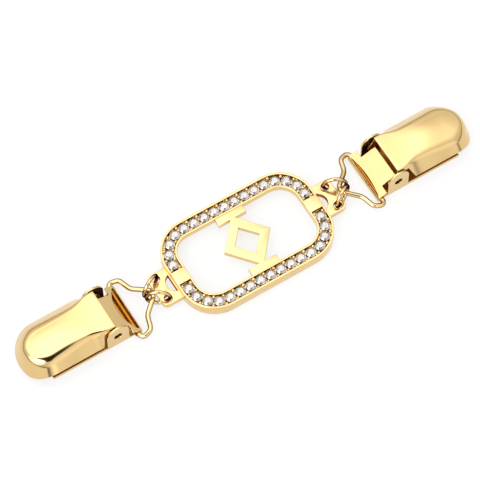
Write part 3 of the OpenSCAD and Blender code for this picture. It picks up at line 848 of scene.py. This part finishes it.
class Cover:
    """The pressed cover's shape in millimetres, u outwards from the bail's base, as the part draws it.

    An inset d is nothing for the outer skin and the sheet's thickness for the lining.
    """

    rear_u = 4.95
    length = 22.35
    width = 14.1
    flat_w = 8.4
    height = 8.0
    wall_z = 4.3
    sheet = 0.45
    # How far the top falls towards the nose, and how much the flat top still widens on the way there
    nose_fall = 0.9
    flare = 0.3
    # The rear part between the ears: its lower edge, and the run over which that drops to the side walls'
    pivot_u, pivot_z = PIVOTS["lever_right"][0] - BASE_X, PIVOTS["lever_right"][2]
    ear_r = 2.85
    ear_clear = 0.2
    neck_half = 5.4
    rear_h = 1.4
    shoulder_u = pivot_u + ear_r + ear_clear
    rear_z = height - rear_h
    drop_l = 1.1
    # The rounded nose
    nose_u = rear_u + length
    nose_l = 0.3 * length
    nose_from = nose_u - nose_l
    nose_z = 1.8
    nose_rim = 1.5
    nose_power = 2.2
    # How many times the inset the sides and the shoulder move in
    side_inset, flat_inset = 1.1, 0.6
    # The arm round the pivot, its hollow stud, which crosses a gap into the ear, and the pin in the stud
    arm_rim = 0.6
    arm_lap = 0.5
    pivot_d = 1.9
    stud_wall = 0.2
    ear_gap = 0.15
    stud_grip = 0.25
    pin_r = 0.24
    shoulder_steps, crown_steps, nose_steps, arm_steps, stud_steps = 16, 10, 56, 16, 32

    def share(self, u):
        """How far along the cover u lies, from 0 at its rear edge to 1 at its nose."""
        return (u - self.rear_u) / self.length

    def top_z(self, u):
        return self.height - self.nose_fall * ease((self.share(u) - 0.4) / 0.6)

    def flat_half(self, u):
        widening = ease((u - self.rear_u - 1) / (0.24 * self.length))
        flare = self.flare * ease((self.share(u) - 0.35) / 0.35)
        return lerp(self.neck_half - self.ear_gap, self.flat_w / 2, widening) + flare

    def low_z(self, u):
        if u <= self.shoulder_u:
            return self.rear_z
        return lerp(self.rear_z, self.wall_z, min((u - self.shoulder_u) / self.drop_l, 1))

    def low_half(self, u):
        """Half the width at the lower edge: the sloping side carries on to whatever height that has."""
        head_start = 0.35
        if u <= self.shoulder_u:
            return self.neck_half
        flat = self.flat_half(u)
        slope = (self.width / 2 - flat) / (self.top_z(u) - self.wall_z)
        wide = flat + (self.top_z(u) - self.low_z(u)) * slope
        return lerp(self.neck_half, wide, ease((u - self.shoulder_u) / self.drop_l + head_start))

    def half_section(self, w, f, low, top, soft):
        """Half a section from its lower edge to its middle: side, rounded shoulder, crowned top.

        It has half widths w below and f above, and soft goes from 0 for crisp shoulders to 1 for full ones.
        """
        side = Vector((f - w, top - low))
        run, inward, crown = lerp(0.2, 0.42, soft), lerp(0.5, 1.5, soft), lerp(0.1, 0.4, soft)
        corner = Vector((f, top))
        begin, end = corner - run * side, Vector((f - inward, top + crown * 0.22))
        points = [(w, low)]
        for j in range(self.shoulder_steps + 1):
            t = j / self.shoulder_steps
            points.append(tuple((1 - t) ** 2 * begin + 2 * t * (1 - t) * corner + t * t * end))
        for j in range(1, self.crown_steps + 1):
            t = 1 - j / self.crown_steps
            points.append((end.x * t, lerp(top + crown, end.y, t * t)))
        return points

    def body_half(self, u, d):
        return self.half_section(
            self.low_half(u) - self.side_inset * d, self.flat_half(u) - self.flat_inset * d,
            self.low_z(u), self.top_z(u) - d, ease((u - self.shoulder_u) / (0.5 * self.length)),
        )

    def nose_reach(self, ahead, aside, a):
        """Distance from the nose's axis to a rounded outline, at an angle from straight ahead."""
        n = self.nose_power
        return 1 / (abs(math.cos(a) / ahead) ** n + abs(math.sin(a) / aside) ** n) ** (1 / n)

    def nose_section(self, a, d):
        """Half a section swung round the nose's axis, lifted so that all of them meet in the middle."""
        from_u = self.nose_from
        w = self.nose_reach(self.nose_l, self.low_half(from_u), a) - self.side_inset * d
        f = self.nose_reach(self.nose_l - self.nose_rim, self.flat_half(from_u), a) - self.flat_inset * d
        low = lerp(self.wall_z, self.nose_z, ease((1 - abs(math.degrees(a)) / 90) / 0.75))
        top = lerp(self.top_z(from_u), self.top_z(self.nose_u), math.cos(a)) - d
        section = self.half_section(w, f, low, top, 1)
        lift = self.body_half(from_u, d)[-1][1] - section[-1][1]
        return [
            (from_u + r * math.cos(a), r * math.sin(a), z + lift * max(1 - r / f, 0)) for r, z in section
        ]

    def stations(self):
        """Places of the sections: few along the rear part and the body, and more where the edge drops."""
        rear_steps, drop_steps, body_steps = 5, 8, 16
        drop_end = self.shoulder_u + self.drop_l
        places = [lerp(self.rear_u, self.shoulder_u, k / rear_steps) for k in range(rear_steps)]
        places += [lerp(self.shoulder_u, drop_end, k / drop_steps) for k in range(drop_steps + 1)]
        places += [lerp(drop_end, self.nose_from, k / body_steps) for k in range(1, body_steps + 1)]
        return places

    def skin(self, shape, side, d):
        """Adds one skin to a bmesh, and gives the points along its lower rim and its rear edge."""
        # The lining takes the painted inside shade
        slot = PAINTED_INSIDE_SHADE if d else SHEET
        body = []
        for u in self.stations():
            half = self.body_half(u, d)
            line = [(u, -y, z) for y, z in half] + [(u, y, z) for y, z in reversed(half[:-1])]
            body.append([shape.verts.new(out_from_base(side, p)) for p in line])
        last = body[-1]
        middle = len(last) // 2
        fan = [last[: middle + 1]]
        for k in range(1, self.nose_steps):
            a = math.pi * (k / self.nose_steps - 0.5)
            section = [shape.verts.new(out_from_base(side, p)) for p in self.nose_section(a, d)[:-1]]
            fan.append(section + [last[middle]])
        fan.append(last[: middle - 1 : -1])
        for rows in (body, fan):
            for a, b in zip(rows, rows[1:]):
                strip(shape, a, b, slot)
        rim = [row[0] for row in body + fan[1:-1]] + [row[-1] for row in reversed(body)]
        return rim, body[0]

    def shell(self, shape, side):
        """Adds the shell to a bmesh: an outer skin and a lining joined along the rim of the metal."""
        for outer, inner in zip(self.skin(shape, side, 0.0), self.skin(shape, side, self.sheet)):
            strip(shape, outer, inner)

    def arm(self, shape, side, way):
        """Adds a side arm with the hollow stud that turns in the ear, and the pin inside the stud."""
        stud_r, arm_y = self.pivot_d / 2, self.neck_half
        arm_r, top = stud_r + self.arm_rim, self.rear_z + self.arm_lap
        ends = (self.shoulder_u - 0.2, self.rear_u + 0.1)

        def spot(u, y, z):
            return shape.verts.new(out_from_base(side, (u, way * y, z)))

        def arc(r, y, turns):
            return [spot(self.pivot_u + r * math.cos(t), y, self.pivot_z + r * math.sin(t)) for t in turns]

        half_turn = [math.pi * (1 + k / self.arm_steps) for k in range(self.arm_steps + 1)]
        walls = [
            arc(arm_r, y, half_turn) + [spot(u, y, top) for u in ends] for y in (arm_y - self.sheet, arm_y)
        ]
        strip(shape, *walls, closed=True)

        # From the pin's end down its side, over the floor and up the bore to the stud's end and its root:
        # radius, y and the finish of the wall that follows
        pin_short, floor_proud, root = 0.12, 0.03, 0.2
        bore_r, floor_y = stud_r - self.stud_wall, arm_y + floor_proud
        end_y = arm_y + self.ear_gap + self.stud_grip
        # The pin's side, the floor and the bore take the painted dark shade
        profile = (
            (self.pin_r, end_y - pin_short, SHEET), (self.pin_r, floor_y, PAINTED_DARK_SHADE), (bore_r, floor_y, PAINTED_DARK_SHADE),
            (bore_r, end_y, PAINTED_DARK_SHADE), (stud_r, end_y, SHEET), (stud_r, arm_y - root, SHEET),
        )
        turn = [2 * math.pi * k / self.stud_steps for k in range(self.stud_steps)]
        rings = [arc(r, y, turn) for r, y, _ in profile]
        for a, b, (_, _, slot) in zip(rings, rings[1:], profile):
            strip(shape, a, b, slot, closed=True)
        for cap in (*walls, rings[0], rings[-1]):
            shape.faces.new(cap)


class SWEATERCLIP_OT_link(bpy.types.Operator):
    """Builds the cast link: the rimmed band, its end bars and lugs, and the open lozenge"""

    bl_idname = "sweater_clip.link"
    bl_label = "Cast link"

    def execute(self, context):
        radius = context.scene.sweater_clip_sizes.rim_round / MM
        parts = [rim_band(radius), ornament_plate(radius)]
        for side in SIDES.values():
            parts += [lug_plate(side, radius), end_bar(side, radius)]
        shape = bmesh.new()
        for part in parts:
            shape.from_mesh(part)
            bpy.data.meshes.remove(part)
        bmesh.ops.recalc_face_normals(shape, faces=shape.faces)
        mesh = mesh_from(shape, "cast_link")
        mesh.shade_smooth()
        mesh.set_sharp_from_angle(angle=math.radians(50))
        piece = new_object("cast_link", mesh, "casting", "recess_painted_shade")
        # The lugs' opening walls take the painted hollow shade
        for face in mesh.polygons:
            face.material_index = 1 if self.in_opening(face.center / MM, face.normal) else 0
        hand_over(piece, "link", "cast_gold", "frame")
        return {"FINISHED"}

    @staticmethod
    def in_opening(p, normal):
        """The upright walls of the lugs' windows and ring holes, which take painted shade."""
        margin, upright = 0.1, 0.5
        x, y = abs(p.x), abs(p.y)
        if abs(normal.z) > upright or x < WINDOW_X - margin:
            return False
        in_hole = math.hypot(x - HOLE_X, y - HOLE_Y) < HOLE_D / 2 + margin
        in_window = x < WINDOW_X + WINDOW_L + margin and y < WINDOW_W / 2 + margin
        return in_hole or in_window


class SWEATERCLIP_OT_stones(bpy.types.Operator):
    """Gives the set stones their crystal and foil"""

    bl_idname = "sweater_clip.stones"
    bl_label = "Stones"

    def execute(self, context):
        for name, stone in frame["nodes"].items():
            if name.startswith("stone_"):
                stone.material_slots[0].material = finish("crystal")
        return {"FINISHED"}


class SWEATERCLIP_OT_grains(bpy.types.Operator):
    """Sets the gold grains that hold the stones"""

    bl_idname = "sweater_clip.grains"
    bl_label = "Grains"

    def execute(self, context):
        sizes = context.scene.sweater_clip_sizes
        mesh = bpy.data.meshes.new("grain_sites")
        mesh.from_pydata(grain_sites(sizes.grain), [], [])
        piece = new_object("setting_grains", mesh)
        run_tree(piece, grain_tree(), {"Grain diameter": sizes.grain, "Seed": sizes.grain_seed}, "casting")
        hand_over(piece, "link", "cast_gold")
        return {"FINISHED"}


class SWEATERCLIP_OT_rings(bpy.types.Operator):
    """Bends the jump rings from round wire"""

    bl_idname = "sweater_clip.rings"
    bl_label = "Jump rings"

    def execute(self, context):
        sizes = context.scene.sweater_clip_sizes
        tree = wire_tree()
        wire = {"Wire diameter": sizes.ring_wire, "Facets": sizes.wire_facets}
        for label, side in SIDES.items():
            for level, way in LEVELS.items():
                loop = ring_loop(side, way, sizes.ring / MM, sizes.ring_wire / MM)
                piece = new_object(f"jump_ring_{label}_{level}", loop_mesh("ring_path", loop))
                run_tree(piece, tree, wire, "wire")
                hand_over(piece, "link", "wire_gold", f"ring_{label}_{level}")
        return {"FINISHED"}


class SWEATERCLIP_OT_bails(bpy.types.Operator):
    """Bends the two wire bails"""

    bl_idname = "sweater_clip.bails"
    bl_label = "Wire bails"

    def execute(self, context):
        sizes = context.scene.sweater_clip_sizes
        tree = wire_tree()
        wire = {"Wire diameter": sizes.bail_wire, "Facets": sizes.wire_facets}
        for label, side in SIDES.items():
            piece = new_object(f"wire_bail_{label}", loop_mesh("bail_path", bail_loop(side)))
            run_tree(piece, tree, wire, "wire", "recess_painted_shade")
            # The base in the eye takes the painted hollow shade
            for face in piece.data.polygons:
                face.material_index = 1 if self.in_eye(face.center / MM) else 0
            hand_over(piece, "link", "wire_gold", f"bail_{label}")
        return {"FINISHED"}

    @staticmethod
    def in_eye(p):
        """The straight base, which turns in its clip's eye."""
        reach, short_of_bend = 0.7, 1.2
        return abs(abs(p.x) - BASE_X) < reach and abs(p.y - SIDE_PLAY) < BAIL_BASE_HALF - short_of_bend


class SWEATERCLIP_OT_clip_bodies(bpy.types.Operator):
    """Rounds the cut edges of the pressed clip bodies"""

    bl_idname = "sweater_clip.clip_bodies"
    bl_label = "Clip bodies"

    def execute(self, context):
        sizes = context.scene.sweater_clip_sizes
        for label in SIDES:
            mesh = merged_copy(f"clip_body_{label}", self.to_be_rounded)
            piece = new_object(f"pressed_body_{label}", mesh, "sheet", "lining", "bore")
            rounded(piece, sizes.sheet_round)
            for face in piece.data.polygons:
                face.material_index = self.side_of_sheet(face.center / MM, face.normal)
            hand_over(piece, f"clip_{label}", "sheet_gold", f"clip_body_{label}")
        return {"FINISHED"}

    @staticmethod
    def side_of_sheet(p, normal):
        """The finish of a face: painted shade on the floor inside the clip, darker on the ears' inner sides.
        """
        eye_end, ears_from, floor_top, flat_on = 1.5, 3.5, 1.2, 0.9
        u, y = abs(p.x) - BASE_X, p.y - SIDE_PLAY
        if u < eye_end:
            return SHEET
        if abs(y) > ears_from and normal.y * math.copysign(1, y) < -flat_on:
            return PAINTED_DARK_SHADE
        return PAINTED_INSIDE_SHADE if p.z < floor_top and normal.z > flat_on else SHEET

    @staticmethod
    def to_be_rounded(p):
        """Leaves out the hairline steps where the sheet runs into the roll."""
        roll_from, roll_to, below_wire, above_wire = -0.75, 0.8, 0.6, 1.55
        in_roll = roll_from < abs(p.x) - BASE_X < roll_to
        return not (in_roll and (p.z < below_wire or p.z > above_wire))


class SWEATERCLIP_OT_covers(bpy.types.Operator):
    """Presses the two lever covers"""

    bl_idname = "sweater_clip.covers"
    bl_label = "Lever covers"

    def execute(self, context):
        sizes = context.scene.sweater_clip_sizes
        cover = Cover()
        for label, side in SIDES.items():
            shape = bmesh.new()
            cover.shell(shape, side)
            for way in (-1, 1):
                cover.arm(shape, side, way)
            bmesh.ops.recalc_face_normals(shape, faces=shape.faces)
            mesh = mesh_from(shape, "lever_cover")
            piece = new_object(f"lever_cover_{label}", mesh, "sheet", "lining", "bore")
            rounded(piece, sizes.sheet_round, sharp_degrees=50)
            hand_over(piece, f"cover_{label}", "sheet_gold", f"clip_cover_{label}")
        return {"FINISHED"}


# The tent's brightness by the height of a direction, which is 0 at the horizon and 1 overhead
TENT_RAMP = (
    (0.0, 0.06), (0.05, 0.1), (0.11, 0.36), (0.2, 0.42), (0.45, 0.5),
    (0.62, 0.54), (0.78, 0.68), (0.88, 0.85), (0.95, 1.0),
)
TENT_FLOOR = 0.03
# Soft panels of the tent: direction, full and fading half angles in degrees, and what they add
PANELS = (
    # Broad, from the left
    ((-0.80, -0.275, 0.541), 6, 34, 2.5),
    # High, a little behind
    ((-0.15, 0.35, 0.92), 8, 38, 0.8),
    # Two low in front, which the upright near walls mirror
    ((0.10, -0.99, 0.06), 20, 42, 0.52),
    ((-0.12, -0.99, 0.0), 5, 17, 0.55),
    # Small and strong, high at the left, for the hot spots on the rounded noses
    ((-0.58, -0.43, 0.69), 4, 17, 6.0),
)
# The gap that the camera looks through
GAP = (10, 27, -2.6)
# The view: the height that the camera aims at in millimetres, and its shift in the photograph's pixels
AIM_Z = 3.3
PHOTO_PX = 480
SHIFT_PX = (-7.4, 0.4)


class SWEATERCLIP_OT_stage(bpy.types.Operator):
    """Lays the pale floor and sets the light tent and the camera"""

    bl_idname = "sweater_clip.stage"
    bl_label = "Studio"

    def execute(self, context):
        studio = context.scene.sweater_clip_studio
        a, e = studio.azimuth, studio.elevation
        back = Vector((math.sin(a) * math.cos(e), -math.cos(a) * math.cos(e), math.sin(e)))
        self.floor(studio)
        self.tent(studio, back)
        self.camera(studio, back)
        context.scene.view_settings.view_transform = "Standard"
        context.scene.view_settings.look = "None"
        return {"FINISHED"}

    @staticmethod
    def floor(studio):
        half, z = 1.5, -0.02 * MM
        mesh = bpy.data.meshes.new("floor")
        corners = [(-half, -half, z), (half, -half, z), (half, half, z), (-half, half, z)]
        mesh.from_pydata(corners, [], [(0, 1, 2, 3)])
        # Uncoated white paper: matt, and lit so evenly that the clip's shadow hardly shows
        material, tree = blank_material("Pale paper")
        place = add(tree, "ShaderNodeTexCoord").outputs["Object"]
        fibre = add(
            tree, "ShaderNodeTexNoise", [(place, "Vector")], in_Scale=1 / (3 * MM), in_Detail=2.0
        )
        bump = add(
            tree, "ShaderNodeBump", [(fibre.outputs["Fac"], "Height")],
            in_Strength=0.2, in_Distance=0.02 * MM,
        )
        paper = add(
            tree, "ShaderNodeBsdfPrincipled", [(bump.outputs["Normal"], "Normal")],
            in_Base_Color=studio.floor, in_Roughness=0.9, in_Specular_IOR_Level=0.1,
        )
        glow = add(tree, "ShaderNodeEmission", in_Color=studio.floor, in_Strength=0.98)
        lit = add(
            tree, "ShaderNodeMixShader",
            [(paper.outputs["BSDF"], 1), (glow.outputs["Emission"], 2)], in_0=0.8,
        )
        add(tree, "ShaderNodeOutputMaterial", [(lit.outputs["Shader"], "Surface")])
        mesh.materials.append(material)
        new_object("paper_floor", mesh)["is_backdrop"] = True

    @staticmethod
    def tent(studio, back):
        """A white tent, brightest overhead, with soft panels and a dark gap round the camera."""
        world = bpy.data.worlds.new("Light tent")
        bpy.context.scene.world = world
        world.use_nodes = True
        tree = world.node_tree
        tree.nodes.clear()
        way = add(tree, "ShaderNodeTexCoord").outputs["Generated"]
        axes = add(tree, "ShaderNodeSeparateXYZ", [(way, "Vector")])
        shade = add(tree, "ShaderNodeValToRGB", [(axes.outputs["Z"], "Fac")])
        stops = shade.color_ramp.elements
        stops[-1].position = TENT_RAMP[-1][0]
        for height, _ in TENT_RAMP[1:-1]:
            stops.new(height)
        for stop, (_, value) in zip(stops, TENT_RAMP):
            stop.color = (value, value, value, 1)

        def level(links, operation, **second):
            return add(tree, "ShaderNodeMath", links, operation=operation, **second).outputs["Value"]

        bright = level([(shade.outputs["Color"], 0)], "MULTIPLY", in_1=studio.dome)
        for direction, inner, outer, gain in (*PANELS, (back, *GAP)):
            facing = add(
                tree, "ShaderNodeVectorMath", [(way, 0)],
                operation="DOT_PRODUCT", in_1=Vector(direction).normalized(),
            )
            glow = add(
                tree, "ShaderNodeMapRange", [(facing.outputs["Value"], "Value")],
                interpolation_type="SMOOTHSTEP", in_To_Max=gain,
                in_From_Min=math.cos(math.radians(outer)), in_From_Max=math.cos(math.radians(inner)),
            )
            bright = level([(bright, 0), (glow.outputs["Result"], 1)], "ADD")
        bright = level([(bright, 0)], "MAXIMUM", in_1=TENT_FLOOR)
        tent = add(tree, "ShaderNodeBackground", [(bright, "Strength")])
        plain = add(tree, "ShaderNodeBackground", in_Color=studio.floor, in_Strength=1.0)
        seen = add(tree, "ShaderNodeLightPath")
        both = add(
            tree, "ShaderNodeMixShader",
            [
                (seen.outputs["Is Camera Ray"], 0),
                (tent.outputs["Background"], 1),
                (plain.outputs["Background"], 2),
            ],
        )
        add(tree, "ShaderNodeOutputWorld", [(both.outputs["Shader"], "Surface")])

    @staticmethod
    def camera(studio, back):
        data = bpy.data.cameras.new("Camera")
        data.lens = studio.lens
        data.sensor_width = 36
        data.shift_x, data.shift_y = (px / PHOTO_PX for px in SHIFT_PX)
        data.clip_start = 0.05
        data.clip_end = 20
        camera = new_object("Camera", data)
        camera.location = Vector((0, 0, AIM_Z * MM)) + back * studio.distance
        camera.rotation_euler = (-back).to_track_quat("-Z", "Y").to_euler()
        bpy.context.scene.camera = camera


OPERATORS = (
    SWEATERCLIP_OT_link,
    SWEATERCLIP_OT_stones,
    SWEATERCLIP_OT_grains,
    SWEATERCLIP_OT_rings,
    SWEATERCLIP_OT_bails,
    SWEATERCLIP_OT_clip_bodies,
    SWEATERCLIP_OT_covers,
    SWEATERCLIP_OT_stage,
)
SETTINGS = (
    ("sweater_clip_sizes", SweaterClipSizes),
    ("sweater_clip_finishes", SweaterClipFinishes),
    ("sweater_clip_studio", SweaterClipStudio),
)


class SWEATERCLIP_PT_panel(bpy.types.Panel):
    """Lists the clip's pieces and their settings"""

    bl_idname = "SWEATERCLIP_PT_panel"
    bl_label = "Sweater clip"
    bl_space_type = "VIEW_3D"
    bl_region_type = "UI"
    bl_category = "Sweater clip"

    def draw(self, context):
        for operator in OPERATORS:
            self.layout.operator(operator.bl_idname)
        for name, _ in SETTINGS:
            settings = getattr(context.scene, name)
            box = self.layout.box()
            for key in settings.__annotations__:
                box.prop(settings, key)


def register():
    for name, group in SETTINGS:
        bpy.utils.register_class(group)
        setattr(bpy.types.Scene, name, PointerProperty(type=group))
    for kind in (*OPERATORS, SWEATERCLIP_PT_panel):
        bpy.utils.register_class(kind)


def unregister():
    for kind in reversed((*OPERATORS, SWEATERCLIP_PT_panel)):
        bpy.utils.unregister_class(kind)
    for name, group in reversed(SETTINGS):
        delattr(bpy.types.Scene, name)
        bpy.utils.unregister_class(group)


def main():
    register()
    for operator in OPERATORS:
        group, name = operator.bl_idname.split(".")
        getattr(getattr(bpy.ops, group), name)()
    boxes = {"cad": CAD_BOX, "visual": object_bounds()}
    {key: [list(corner) for corner in box] for key, box in boxes.items()}


if __name__ == "__main__":
    main()
